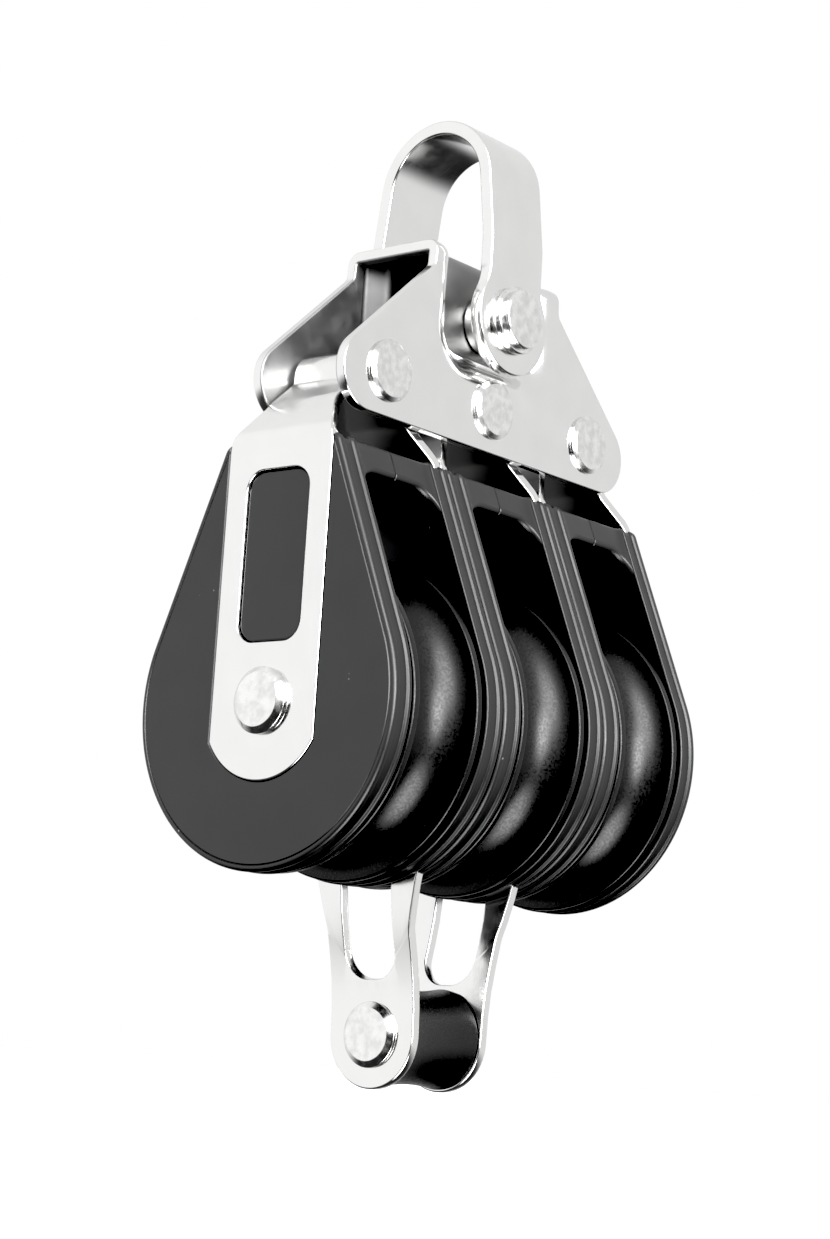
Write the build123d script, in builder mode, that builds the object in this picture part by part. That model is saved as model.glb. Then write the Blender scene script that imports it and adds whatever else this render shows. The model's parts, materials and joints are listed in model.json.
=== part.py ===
from build123d import *
import os
from math import acos, atan2, cos, hypot, radians, sin, sqrt, tan

os.makedirs("parts", exist_ok=True)

# Triple sheave block with a becket, hung from a strip shackle. Millimetres, +Z up.
# The origin is the point inside the shackle's crown that rests on whatever holds the block.
# The sheave axle runs along Y, and the rope passes through along X.

# Driving dimensions
sheave_d = 38.0          # over the sheave flanges
pitch = 19.6             # centre to centre of neighbouring shells
strap_t = 1.3            # strap sheet
bracket_t = 1.4          # head bracket sheet
bow_t = 1.7              # shackle strip
fit_gap = 0.03           # radial clearance of a fixed pin in its hole
run_gap = 0.06           # radial clearance where something turns on a pin

# Heights above the axle
bar_top = 30.0
bar_bottom = 26.2
rivet_h = 39.4
pin_h = 50.1
crown_h = 73.8
becket_h = -35.7

# Heights in the part's own frame
axle_z = -crown_h
pin_z = axle_z + pin_h
rivet_z = axle_z + rivet_h
becket_z = axle_z + becket_h

# Axle, rivets and pins
axle_r = 3.0
axle_head_r = 3.8
axle_head_t = 1.2
rivet_r = 1.6
rivet_head_r = 3.65
rivet_head_t = 0.75
pin_r = 2.5
becket_pin_r = 2.0
becket_head_t = 0.9

# Shells
shell_r = sheave_d / 2
shell_half = 9.7         # shell centre to the outer face of a cheek
cheek_inner = 6.65       # shell centre to the inner face of a cheek
top_corner_x = 8.4
rim_round = 0.8
bar_inset = 0.4
bar_round = 1.3
seam_gap = 0.06

# Straps
strap_half = 7.76        # half width beside the shell
strap_out = 9.78         # shell centre to the strap's outer face
strap_foot_r = 8.95      # rounded foot, about the axle
tongue_half = 5.1        # half width where the strap loops over its rivet
window_half = 4.72
window_low = 6.7
window_high = 26.5
window_r = 2.4
recess_floor = strap_out - strap_t - fit_gap
recess_play = 0.08
pad_out = 9.45           # shell centre to the face of the raised pad

# Sheaves
sheave_half = 6.1
tread_r = 14.0
flange_r = 18.8
groove_half = 5.0
bush_r = 4.5
washer_r = 5.6
washer_t = 0.4

# Head bracket
plate_x = 7.0            # centre plane to the outer face of a plate
bracket_top = 57.6
bracket_bottom = 34.0
bracket_top_half = 12.2
bracket_neck = (12.4, 54.2)
bracket_foot = 34.8      # where the sloping side would meet the lower edge
foot_round = 4.6
fold_round = 1.6
dish_half = 9.7
dish_low = 43.0
dish_high = 55.1
dish_depth = 2.5
dish_round = 4.5
dish_slope = 26          # degrees from straight in
dish_edge_round = 0.8

# Shackle
bow_inner = 7.8          # half the clear width between the legs at the pin
crown_r = 6.9            # the crown's inner radius
bow_knee = 60.0          # where the legs start to lean in towards the crown
bow_knee_round = 12
bow_half = 5.1           # half the strip's width
bow_eye_r = 6.6
bow_out = bow_inner + bow_t
crown_centre_h = crown_h - crown_r
pin_head_r = 4.1
pin_cap_r = 3.6
spacer_r = 3.6
pin_tail_x = -14.0
ring_x = -12.2
ring_r = 6.0
ring_wire_r = 0.45

# Becket
becket_eye_r = 6.2
leg_out = 7.0            # centre plane to the outer face of a leg at its eye
jog_low = -31.0
jog_high = -20.0
slot_half = 3.7
slot_low = -29.3
slot_high = -11.5
becket_bush_r = 5.9
becket_bush_half = leg_out - strap_t - 0.1
bush_waist = 0.45


def outward(side, y, z):
    """A plane that faces along Y, away from a shell's middle, with its second axis up."""
    return Plane(origin=(0, y, z), x_dir=(-side, 0, 0), z_dir=(0, side, 0))


def across(x, y, z):
    """A plane that faces +X, with its first axis along Y and its second axis up."""
    return Plane(origin=(x, y, z), x_dir=(0, 1, 0), z_dir=(1, 0, 0))


def save(part, name):
    """Label a finished piece and write it under its own name."""
    part.label = name
    export_step(part, f"parts/{name}.step")


def draw_teardrop(inset):
    """A shell seen from the side: a round foot, with straight flanks to two top corners."""
    radius = shell_r - inset
    corner_x = top_corner_x - inset
    tangent = atan2(bar_top, corner_x) - acos(radius / hypot(corner_x, bar_top))
    touch = (radius * cos(tangent), radius * sin(tangent))
    with BuildLine() as outline:
        ThreePointArc(touch, (0, -radius), (-touch[0], touch[1]))
        Polyline((-touch[0], touch[1]), (-corner_x, bar_top), (corner_x, bar_top), touch)
    make_face(outline.edges())


def draw_strap_foot(play):
    """The lower part of a strap seen from the side, from its rounded foot past the shell's top."""
    half = strap_half + play
    foot = strap_foot_r + play
    top = bar_top + 1
    shoulder = -sqrt(foot**2 - half**2)
    with BuildLine() as outline:
        ThreePointArc((half, shoulder), (0, -foot), (-half, shoulder))
        Polyline((-half, shoulder), (-half, top), (half, top), (half, shoulder))
    make_face(outline.edges())


def draw_window(play, mode):
    """The window in a strap, or with some play the pad that fills it."""
    with Locations((0, (window_high + window_low) / 2)):
        RectangleRounded(2 * (window_half - play), window_high - window_low - 2 * play, window_r, mode=mode)


def make_cheek(name, centre_y, side, runs_down):
    """Half a shell: the cheek, half of the crossbar, the strap's recess and the raised pad."""
    inner_y = centre_y + side * cheek_inner
    with BuildPart() as cheek:
        with BuildSketch(outward(side, inner_y, axle_z)):
            draw_teardrop(0)
        extrude(amount=shell_half - cheek_inner)
        rim = cheek.faces().filter_by(Axis.Y).sort_by(Axis.Y)[-1 if side > 0 else 0]
        fillet(rim.edges(), rim_round)
        with BuildSketch(outward(side, centre_y + side * seam_gap / 2, axle_z)):
            draw_teardrop(bar_inset)
            with Locations((0, bar_bottom)):
                Rectangle(4 * shell_r, 4 * shell_r, align=(Align.CENTER, Align.MAX), mode=Mode.SUBTRACT)
        extrude(amount=cheek_inner)
        corner = cheek.edges().filter_by(Axis.X).sort_by_distance((0, inner_y, axle_z + bar_bottom))[0]
        fillet(corner, bar_round)
        with BuildSketch(outward(side, centre_y + side * recess_floor, axle_z)):
            draw_strap_foot(recess_play)
            if runs_down:
                Rectangle(2 * (strap_half + recess_play), 4 * shell_r, align=(Align.CENTER, Align.MAX))
            draw_window(recess_play, Mode.SUBTRACT)
        extrude(amount=strap_t + 1, mode=Mode.SUBTRACT)
        with BuildSketch(outward(side, centre_y + side * pad_out, axle_z)):
            draw_window(0, Mode.ADD)
        extrude(amount=1, mode=Mode.SUBTRACT)
        with BuildSketch(outward(side, inner_y, axle_z)):
            Circle(axle_r + fit_gap)
        extrude(amount=shell_half, mode=Mode.SUBTRACT)
    save(cheek.part, name)


def draw_strap_path(bottom, becket):
    """The middle of a strap's sheet seen along X: up one leg, round the rivet, down the other."""
    leg = strap_out - strap_t / 2
    loop = rivet_r + strap_t / 2
    rise = [(leg, bottom)]
    if becket:
        rise = [(leg_out - strap_t / 2, bottom), (leg_out - strap_t / 2, jog_low), (leg, jog_high)]
    rise += [(leg, 30.6), (6.2, 34.9), (loop, 36.9), (loop, rivet_h)]
    FilletPolyline(*rise, radius=1.4)
    ThreePointArc((loop, rivet_h), (0, rivet_h + loop), (-loop, rivet_h))
    FilletPolyline(*[(-y, z) for y, z in rise], radius=1.4)


def draw_strap_front(becket):
    """A strap seen from the side of the block, narrowing to its tongue at the top."""
    top = rivet_h + 5
    foot = -strap_foot_r
    flank = [(strap_half, -sqrt(strap_foot_r**2 - strap_half**2))]
    if becket:
        foot = becket_h - becket_eye_r
        flank = [(becket_eye_r, becket_h), (becket_eye_r, -23.5), (strap_half, -16.5)]
    flank += [(strap_half, 29.9), (tongue_half, 34.5), (tongue_half, top)]
    with BuildLine() as outline:
        FilletPolyline(*flank, radius=2.5)
        Line((tongue_half, top), (-tongue_half, top))
        FilletPolyline(*[(-x, z) for x, z in flank], radius=2.5)
        ThreePointArc(flank[0], (0, foot), (-flank[0][0], flank[0][1]))
    make_face(outline.edges())


def make_strap(name, centre_y, becket):
    """A hairpin strap over a shell; the becket's legs run on below the shell to two eyes."""
    bottom = becket_h - becket_eye_r if becket else -strap_foot_r
    with BuildPart() as strap:
        with BuildSketch(across(-strap_half, centre_y, axle_z)):
            with BuildLine():
                draw_strap_path(bottom, becket)
            trace(line_width=strap_t)
        extrude(amount=2 * strap_half)
        with BuildSketch(outward(1, centre_y - strap_out - 1, axle_z)):
            draw_strap_front(becket)
            draw_window(0, Mode.SUBTRACT)
            Circle(axle_r + fit_gap, mode=Mode.SUBTRACT)
            if becket:
                with Locations((0, becket_h)):
                    Circle(becket_pin_r + fit_gap, mode=Mode.SUBTRACT)
                with Locations((0, (slot_low + slot_high) / 2)):
                    RectangleRounded(2 * slot_half, slot_high - slot_low, 2.8, mode=Mode.SUBTRACT)
        extrude(amount=2 * strap_out + 2, mode=Mode.INTERSECT)
    save(strap.part, name)


def make_sheave(name, centre_y):
    """A grooved wheel with dished sides, bored for its bush."""
    side = sheave_half
    flank = [(groove_half, flange_r), (side - 0.3, flange_r), (side, flange_r - 0.3), (side, 13.2)]
    flank += [(side - 1.2, 12.6), (side - 1.2, 6.8), (side, 6.2), (side, bush_r + fit_gap)]
    with BuildPart() as sheave:
        with BuildSketch(across(0, centre_y, axle_z)):
            with BuildLine():
                ThreePointArc((groove_half, flange_r), (0, tread_r), (-groove_half, flange_r))
                Polyline(*flank)
                Line(flank[-1], (-flank[-1][0], flank[-1][1]))
                Polyline(*[(-y, r) for y, r in flank])
            make_face()
        revolve(axis=Axis((0, centre_y, axle_z), (0, 1, 0)))
    save(sheave.part, name)


def make_sleeves(name, starts, length, z, outer_r, inner_r):
    """Plain round sleeves or washers along Y, one from each starting place."""
    with BuildPart() as sleeves:
        for start in starts:
            with BuildSketch(outward(1, start, z)):
                Circle(outer_r)
                Circle(inner_r, mode=Mode.SUBTRACT)
            extrude(amount=length)
    save(sleeves.part, name)


def make_headed_pin(name, plane_at, half_length, radius, head_radius, head_t, edge):
    """A pin with the same head at both ends; half_length is from its middle to a head's underside."""
    with BuildPart() as pin:
        with BuildSketch(plane_at(-half_length)):
            Circle(radius)
        extrude(amount=2 * half_length)
        for start in (-half_length - head_t, half_length):
            with BuildSketch(plane_at(start)):
                Circle(head_radius)
            extrude(amount=head_t)
        ends = pin.faces().filter_by(GeomType.PLANE).sort_by(SortBy.DISTANCE)[-2:]
        fillet(ends.edges(), edge)
    save(pin.part, name)


def make_head_bracket():
    """A sheet folded over the top, with its two plates pressed in round the shackle pin."""
    half_outline = [(0, bracket_bottom), (bracket_foot, bracket_bottom), bracket_neck]
    half_outline += [(bracket_top_half, bracket_top), (0, bracket_top)]
    corner_rounds = [foot_round, 1.2, 0.8]
    with BuildPart() as bracket:
        with BuildSketch(across(-plate_x, 0, axle_z)):
            with BuildLine():
                FilletPolyline(*half_outline, radius=corner_rounds)
                FilletPolyline(*[(-y, z) for y, z in half_outline], radius=corner_rounds)
            make_face()
        extrude(amount=2 * plate_x)
        folds = bracket.edges().filter_by(Axis.Y).group_by(Axis.Z)[-1]
        fillet(folds, fold_round)
        inner_top = bracket_top - bracket_t
        inner_half = plate_x - bracket_t
        with BuildSketch(outward(1, -bracket_foot, axle_z)) as channel:
            with Locations((0, inner_top)):
                Rectangle(2 * inner_half, bracket_top, align=(Align.CENTER, Align.MAX))
            fillet(channel.vertices().group_by(Axis.Y)[-1], fold_round - bracket_t + 0.3)
        extrude(amount=2 * bracket_foot, mode=Mode.SUBTRACT)
        dish_h = (dish_low + dish_high) / 2
        wall = bracket_t / cos(radians(dish_slope)) - bracket_t * tan(radians(dish_slope))
        for side in (-1, 1):
            for start, grow, how in ((inner_half, wall, Mode.ADD), (plate_x, 0, Mode.SUBTRACT)):
                rim = Plane(origin=(side * start, 0, axle_z + dish_h), x_dir=(0, side, 0), z_dir=(-side, 0, 0))
                with BuildSketch(rim):
                    width = 2 * (dish_half + grow)
                    RectangleRounded(width, dish_high - dish_low + 2 * grow, dish_round + grow)
                extrude(amount=dish_depth, taper=dish_slope, mode=how)
            plate = bracket.faces().filter_by(Axis.X).sort_by(Axis.X)[-1 if side > 0 else 0]
            fillet(plate.inner_wires()[0].edges(), dish_edge_round)
        with BuildSketch(across(-plate_x, 0, axle_z)):
            with Locations((0, pin_h)):
                Circle(pin_r + run_gap)
            with Locations(*[(y, rivet_h) for y in (-pitch, 0, pitch)]):
                Circle(rivet_r + fit_gap)
        extrude(amount=2 * plate_x, mode=Mode.SUBTRACT)
    save(bracket.part, "head_bracket")


def make_shackle_bow():
    """A strip bent into a U, widening to an eye at the end of each leg."""
    leg_x = bow_inner + bow_t / 2
    radius = crown_r + bow_t / 2
    foot = pin_h - bow_eye_r
    fall = crown_centre_h - bow_knee
    tangent = acos(radius / hypot(leg_x, fall)) - atan2(fall, leg_x)
    touch = (radius * cos(tangent), crown_centre_h + radius * sin(tangent))
    with BuildPart() as bow:
        with BuildSketch(outward(1, -bow_eye_r, axle_z)):
            with BuildLine():
                FilletPolyline((leg_x, foot), (leg_x, bow_knee), touch, radius=bow_knee_round)
                ThreePointArc(touch, (0, crown_centre_h + radius), (-touch[0], touch[1]))
                FilletPolyline((-touch[0], touch[1]), (-leg_x, bow_knee), (-leg_x, foot), radius=bow_knee_round)
            trace(line_width=bow_t)
        extrude(amount=2 * bow_eye_r)
        with BuildSketch(across(-bow_out, 0, axle_z)) as strip:
            with Locations((0, pin_h)):
                Rectangle(2 * bow_half, crown_h, align=(Align.CENTER, Align.MIN))
                Circle(bow_eye_r)
            necks = [v for v in strip.vertices() if abs(abs(v.X) - bow_half) < 0.01 and v.Y < crown_h]
            fillet(necks, 5)
            with Locations((0, pin_h)):
                Circle(pin_r + fit_gap, mode=Mode.SUBTRACT)
        extrude(amount=2 * bow_out, mode=Mode.INTERSECT)
    save(bow.part, "shackle_bow")


def make_shackle_pin():
    """A clevis pin with a stepped head, cross-drilled at its tail for the split ring."""
    with BuildPart() as pin:
        with BuildSketch(across(pin_tail_x, 0, pin_z)):
            Circle(pin_r)
        extrude(amount=bow_out - pin_tail_x)
        chamfer(pin.edges().sort_by(Axis.X)[0], 0.6)
        with BuildSketch(across(bow_out, 0, pin_z)):
            Circle(pin_head_r)
        extrude(amount=1.0)
        with BuildSketch(across(bow_out + 1.0, 0, pin_z)):
            Circle(pin_cap_r)
        extrude(amount=0.9)
        fillet(pin.edges().sort_by(Axis.X)[-1], 0.4)
        sag = ring_r - sqrt(ring_r**2 - pin_r**2)
        with BuildSketch(Plane(origin=(ring_x, 0, pin_z - sag / 2), z_dir=(0, 1, 0))):
            Circle(ring_wire_r + sag / 2 + 0.1)
        extrude(amount=pin_r, both=True, mode=Mode.SUBTRACT)
    save(pin.part, "shackle_pin")


def make_split_ring():
    """The wire ring through the tail of the shackle pin."""
    with BuildPart(Plane(origin=(ring_x, 0, pin_z - ring_r), z_dir=(1, 0, 0))) as ring:
        Torus(ring_r, ring_wire_r)
    save(ring.part, "split_ring")


def make_pin_spacers():
    """Two washers that keep the head bracket centred between the shackle's legs."""
    floor_x = plate_x - dish_depth
    length = bow_inner - floor_x - 0.12
    with BuildPart() as spacers:
        for start in (-bow_inner + 0.02, floor_x + 0.1):
            with BuildSketch(across(start, 0, pin_z)):
                Circle(spacer_r)
                Circle(pin_r + fit_gap, mode=Mode.SUBTRACT)
            extrude(amount=length)
    save(spacers.part, "pin_spacers")


def make_pin_bush():
    """The tube round the shackle pin that props the bracket's two plates apart."""
    half = plate_x - dish_depth - bracket_t - 0.02
    with BuildPart() as bush:
        with BuildSketch(across(-half, 0, pin_z)):
            Circle(3.7)
            Circle(pin_r + run_gap, mode=Mode.SUBTRACT)
        extrude(amount=2 * half)
    save(bush.part, "pin_bush")


def make_becket_bush():
    """The waisted roller between the becket's legs."""
    half = becket_bush_half
    end_r = becket_bush_r
    bore_r = becket_pin_r + run_gap
    with BuildPart() as bush:
        with BuildSketch(across(0, 0, becket_z)):
            with BuildLine():
                ThreePointArc((-half, end_r), (0, end_r - bush_waist), (half, end_r))
                Polyline((half, end_r), (half, bore_r), (-half, bore_r), (-half, end_r))
            make_face()
        revolve(axis=Axis((0, 0, becket_z), (0, 1, 0)))
    save(bush.part, "becket_bush")


def along_y(z):
    """Planes that face +Y at a height, for pins that lie along Y."""
    return lambda y: outward(1, y, z)


def along_x(y, z):
    """Planes that face +X at a height and a place along Y, for pins that lie along X."""
    return lambda x: across(x, y, z)


# Three shells side by side, each with its strap, rivet, sheave, bush and thrust washers
for index, place in enumerate(["left", "middle", "right"]):
    y = (index - 1) * pitch
    middle = place == "middle"
    washer_starts = [y - cheek_inner + 0.07, y + sheave_half + 0.08]
    make_cheek(f"cheek_{2 * index + 1}", y, -1, middle)
    make_cheek(f"cheek_{2 * index + 2}", y, 1, middle)
    make_strap("strap_becket" if middle else f"strap_{place}", y, middle)
    make_headed_pin(f"rivet_{place}", along_x(y, rivet_z), plate_x, rivet_r, rivet_head_r, rivet_head_t, 0.3)
    make_sheave(f"sheave_{place}", y)
    make_sleeves(f"sheave_bush_{place}", [y - sheave_half], 2 * sheave_half, axle_z, bush_r, axle_r + run_gap)
    make_sleeves(f"thrust_washers_{place}", washer_starts, washer_t, axle_z, washer_r, axle_r + fit_gap)

make_headed_pin("axle", along_y(axle_z), pitch + strap_out, axle_r, axle_head_r, axle_head_t, 0.45)
make_headed_pin("becket_pin", along_y(becket_z), leg_out, becket_pin_r, axle_head_r, becket_head_t, 0.45)
make_becket_bush()
make_head_bracket()
make_pin_bush()
make_pin_spacers()
make_shackle_bow()
make_shackle_pin()
make_split_ring()
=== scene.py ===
import bmesh
import bpy
import json
from bisect import bisect_right
from math import acos, atan2, ceil, cos, hypot, pi, radians, sin, sqrt, tan
from mathutils import Matrix, Vector


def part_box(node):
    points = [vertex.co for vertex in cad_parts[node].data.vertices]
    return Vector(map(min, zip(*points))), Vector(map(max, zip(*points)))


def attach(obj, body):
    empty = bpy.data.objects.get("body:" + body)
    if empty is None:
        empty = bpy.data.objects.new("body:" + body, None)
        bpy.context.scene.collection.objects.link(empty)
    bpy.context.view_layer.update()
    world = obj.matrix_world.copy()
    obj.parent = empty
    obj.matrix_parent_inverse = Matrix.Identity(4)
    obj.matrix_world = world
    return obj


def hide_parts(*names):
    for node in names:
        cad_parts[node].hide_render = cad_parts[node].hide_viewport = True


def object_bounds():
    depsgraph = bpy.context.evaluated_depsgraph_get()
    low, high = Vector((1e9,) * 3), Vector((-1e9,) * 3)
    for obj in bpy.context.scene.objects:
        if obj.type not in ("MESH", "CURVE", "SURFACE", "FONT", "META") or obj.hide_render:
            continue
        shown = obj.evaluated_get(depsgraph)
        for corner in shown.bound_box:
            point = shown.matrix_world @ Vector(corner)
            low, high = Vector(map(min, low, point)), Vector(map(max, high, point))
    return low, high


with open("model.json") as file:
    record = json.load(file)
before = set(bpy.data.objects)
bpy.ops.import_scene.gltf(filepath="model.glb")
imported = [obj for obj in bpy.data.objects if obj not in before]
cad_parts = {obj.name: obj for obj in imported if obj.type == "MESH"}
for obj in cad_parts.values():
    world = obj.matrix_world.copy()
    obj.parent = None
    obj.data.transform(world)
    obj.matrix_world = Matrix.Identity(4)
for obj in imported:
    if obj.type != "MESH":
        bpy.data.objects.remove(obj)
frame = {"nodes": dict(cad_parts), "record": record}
cad_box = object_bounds()

# A triple sheave block. Every size is in millimetres, and every height is measured from the axle,
# as in the CAD source. The axle's place comes from the frame.
MM = 0.001
axle_low, axle_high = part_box("axle")
AXLE = (axle_low + axle_high) / 2

PITCH = 19.6
SHEET = 1.3
RIVET_H = 39.4
PIN_H = 50.1
CROWN_H = 73.8
BECKET_H = -35.7

SHELL_R = 19.0
SHELL_HALF = 9.7         # half a shell's width
CHEEK_INNER = 6.65
TOP_CORNER_X = 8.4
TOP_CORNER_R = 1.3       # larger than the rim's deepest inset, so that its rings never cross
BAR_TOP = 30.0
BAR_BOTTOM = 26.2
BAR_INSET = 0.55         # how far a crossbar's front lies behind the cheeks' rims
BAR_ROUND = 0.7
BAR_SWEEP = 3.3          # the rounded corner of the rope's opening
BAR_BLEND = 1.2
BAR_STEPS = 12

STRAP_HALF = 7.76        # half the strap's width
STRAP_OUT = 9.78         # how far a leg's outer face lies from the strap's middle
STRAP_FOOT_R = 8.95
STRAP_EDGE = 0.22        # the rounding of the sheet's edges
TONGUE_HALF = 5.1        # half the width where it goes round the rivet
SHOULDER_H = 30.6        # where the legs start to lean in towards the rivet
NECK_X = 6.0
NECK_H = 35.0
LOOP_H = 38.2            # where they are straight again, below the rivet
WINDOW_HALF = 4.72
WINDOW_LOW = 6.7
WINDOW_HIGH = 26.5
WINDOW_R = 2.4
POCKET_FLOOR = 8.45
POCKET_GAP = 0.08
PAD_OUT = 9.45           # the pad that stands up in the strap's window

PLATE_X = 7.0
BRACKET_T = 1.4
BOW_T = 1.7
BOW_INNER = 7.8
CROWN_R = 6.9            # inside the crown
BOW_KNEE = 60.0
KNEE_R = 12
BOW_HALF = 5.1
BOW_EYE_R = 6.6
BOW_NECK_R = 5.0         # where an eye narrows to the strip
BOW_EDGE = 0.32

LEG_OUT = 7.0            # the becket's legs, below the step that brings them closer
BECKET_EYE_R = 6.2
STEP_LOW = -31.0
STEP_HIGH = -20.0
STEP_R = 36
SLOT_H = -20.4
SLOT_HALF = 3.7
SLOT_REACH = 8.9
SLOT_R = 3.2
ROLLER_R = 5.45          # at its waist
WAIST_R = 34.0
WAIST_TURN = 0.1655      # radians either way along the waist's arc

RIVET_R = 1.6
PIN_R = 2.5              # the shackle pin
AXLE_R = 3.0
BECKET_PIN_R = 2.0
BORE_GAP = 0.05          # between a pin and the hole that it's in
RING_X = -12.2           # the cross hole in the shackle pin's tail
RING_R = 6.0
RING_WIRE = 0.22

ARC_STEP = radians(5)    # the turn between two points of a rounded corner
EDGE_STEPS = 3           # strips round a sheet's edge, from a face to its middle


# Plane geometry: outlines are lists of 2-D vectors in millimetres

def rounded(corners, radii, closed=False):
    """A polyline with each corner rounded by its radius; radii may be one number."""
    points = [Vector(c) for c in corners]
    count = len(points)
    if not hasattr(radii, "__len__"):
        radii = [radii] * count
    result = []
    for i, corner in enumerate(points):
        inside = closed or 0 < i < count - 1
        if not inside or radii[i] <= 0:
            result.append(corner)
            continue
        back = (points[i - 1] - corner).normalized()
        ahead = (points[(i + 1) % count] - corner).normalized()
        half_angle = back.angle(ahead) / 2
        centre = corner + (back + ahead).normalized() * radii[i] / sin(half_angle)
        start = corner + back * radii[i] / tan(half_angle) - centre
        stop = corner + ahead * radii[i] / tan(half_angle) - centre
        turn = atan2(start.x * stop.y - start.y * stop.x, start.dot(stop))
        steps = max(2, ceil(abs(turn) / ARC_STEP))
        for k in range(steps + 1):
            spin = turn * k / steps
            result.append(centre + Matrix.Rotation(spin, 2) @ start)
    return result


def arc(centre, radius, start, stop, steps):
    """Points on an arc, both ends included; angles in radians."""
    angles = [start + (stop - start) * k / steps for k in range(steps + 1)]
    return [Vector((centre[0] + radius * cos(a), centre[1] + radius * sin(a))) for a in angles]


def circle(centre, radius, steps=64):
    """A closed outline, which starts on the right."""
    return arc(centre, radius, 0, 2 * pi, steps)[:-1]


def rounded_box(centre, half_x, half_y, radius):
    """A closed outline with four rounded corners."""
    corners = [(half_x, -half_y), (half_x, half_y), (-half_x, half_y), (-half_x, -half_y)]
    return rounded([(centre[0] + x, centre[1] + y) for x, y in corners], radius, closed=True)


def grow(loop, amount):
    """A closed outline moved out by an amount, or in where it is negative."""
    count = len(loop)
    area = sum(loop[i - 1].x * loop[i].y - loop[i].x * loop[i - 1].y for i in range(count))
    side = 1 if area > 0 else -1
    moved = []
    for i, point in enumerate(loop):
        before = (point - loop[i - 1]).normalized()
        after = (loop[(i + 1) % count] - point).normalized()
        normal = Vector((before.y + after.y, -before.x - after.x))
        normal *= side / (1 + before.dot(after))
        moved.append(point + normal * amount)
    return moved


def thin_out(loop, least=0.02):
    """A closed outline without points that lie on top of each other."""
    kept = []
    for point in loop:
        if not kept or (point - kept[-1]).length > least:
            kept.append(point)
    while (kept[0] - kept[-1]).length < least:
        kept.pop()
    return kept


# Mesh building

def ring(bm, loop, height):
    """The points of an outline as vertices at one height."""
    return [bm.verts.new((p.x, p.y, height)) for p in loop]


def join_rings(bm, first, second):
    """A closed strip of faces between two rings of vertices."""
    for i in range(len(first)):
        bm.faces.new((first[i - 1], first[i], second[i], second[i - 1]))


def join_stack(bm, rings):
    """Each ring joined to the next."""
    for first, second in zip(rings, rings[1:]):
        join_rings(bm, first, second)


def fill(bm, loops):
    """A flat face inside the first loop of vertices and outside the others."""
    edges = []
    for loop in loops:
        for i in range(len(loop)):
            pair = (loop[i - 1], loop[i])
            edges.append(bm.edges.get(pair) or bm.edges.new(pair))
    bmesh.ops.triangle_fill(bm, use_beauty=True, use_dissolve=False, edges=edges)


def edge_rings(bm, loop, thickness, edge, outer=True):
    """Rings round the rounded edge of a sheet, from its outer face to its inner face."""
    inward = -1 if outer else 1
    levels = []
    for k in range(EDGE_STEPS + 1):
        turn = pi / 2 * k / EDGE_STEPS
        levels.append((edge * (1 - sin(turn)), thickness / 2 - edge * (1 - cos(turn))))
    levels += [(shift, -height) for shift, height in reversed(levels)]
    rings = [ring(bm, grow(loop, inward * shift), height) for shift, height in levels]
    join_stack(bm, rings)
    return rings


def make_flat_sheet(bm, outline, holes, thickness, edge):
    """A flat sheet with rounded edges, its middle at height 0."""
    edges = [edge_rings(bm, thin_out(outline), thickness, edge)]
    edges += [edge_rings(bm, thin_out(hole), thickness, edge, outer=False) for hole in holes]
    fill(bm, [rings[0] for rings in edges])
    fill(bm, [rings[-1] for rings in edges])


def path_lengths(path):
    """How far along a path each of its points lies."""
    lengths = [0.0]
    for first, second in zip(path, path[1:]):
        lengths.append(lengths[-1] + (second - first).length)
    return lengths


def bend(bm, path, place):
    """Bend a flat sheet (across, along, out) along a path, with its outer face on the path's left."""
    lengths = path_lengths(path)
    for length in lengths[1:-1]:
        everything = bm.verts[:] + bm.edges[:] + bm.faces[:]
        bmesh.ops.bisect_plane(
            bm, geom=everything, dist=1e-4, plane_co=(0, length, 0), plane_no=(0, 1, 0))
    sides = []
    for first, second in zip(path, path[1:]):
        ahead = (second - first).normalized()
        sides.append(Vector((-ahead.y, ahead.x)))
    normals = [sides[0]]
    for first, second in zip(sides, sides[1:]):
        normals.append((first + second) / (1 + first.dot(second)))
    normals.append(sides[-1])
    for vert in bm.verts:
        across, along, out = vert.co
        i = min(max(bisect_right(lengths, along) - 1, 0), len(path) - 2)
        share = (along - lengths[i]) / (lengths[i + 1] - lengths[i])
        at = path[i] + (path[i + 1] - path[i]) * share
        normal = normals[i] + (normals[i + 1] - normals[i]) * share
        vert.co = place(across, at + normal * out)


AXIS_GAP = 0.05          # the radius at which an open profile stops beside its axis


def lathe(bm, profile, segments, place, closed=False):
    """Turn a profile of (along the axis, radius) points; an open one is closed by its end faces."""
    rings = []
    for along, radius in profile:
        turns = [2 * pi * k / segments for k in range(segments)]
        rings.append([bm.verts.new(place(along, radius * cos(t), radius * sin(t))) for t in turns])
    join_stack(bm, rings)
    if closed:
        join_rings(bm, rings[-1], rings[0])
    else:
        bm.faces.new(rings[0])
        bm.faces.new(rings[-1])


def boolean(first, second, operation):
    """The first bmesh united with or cut by the second; both are used up."""
    objects = []
    for bm in (first, second):
        bmesh.ops.recalc_face_normals(bm, faces=bm.faces[:])
        mesh = bpy.data.meshes.new("scratch")
        bm.to_mesh(mesh)
        bm.free()
        obj = bpy.data.objects.new("scratch", mesh)
        bpy.context.scene.collection.objects.link(obj)
        objects.append(obj)
    modifier = objects[0].modifiers.new("cut", "BOOLEAN")
    modifier.operation = operation
    modifier.solver = "EXACT"
    modifier.object = objects[1]
    depsgraph = bpy.context.evaluated_depsgraph_get()
    mesh = bpy.data.meshes.new_from_object(objects[0].evaluated_get(depsgraph))
    result = bmesh.new()
    result.from_mesh(mesh)
    bpy.data.meshes.remove(mesh)
    for obj in objects:
        bpy.data.meshes.remove(obj.data)
    return result


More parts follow.
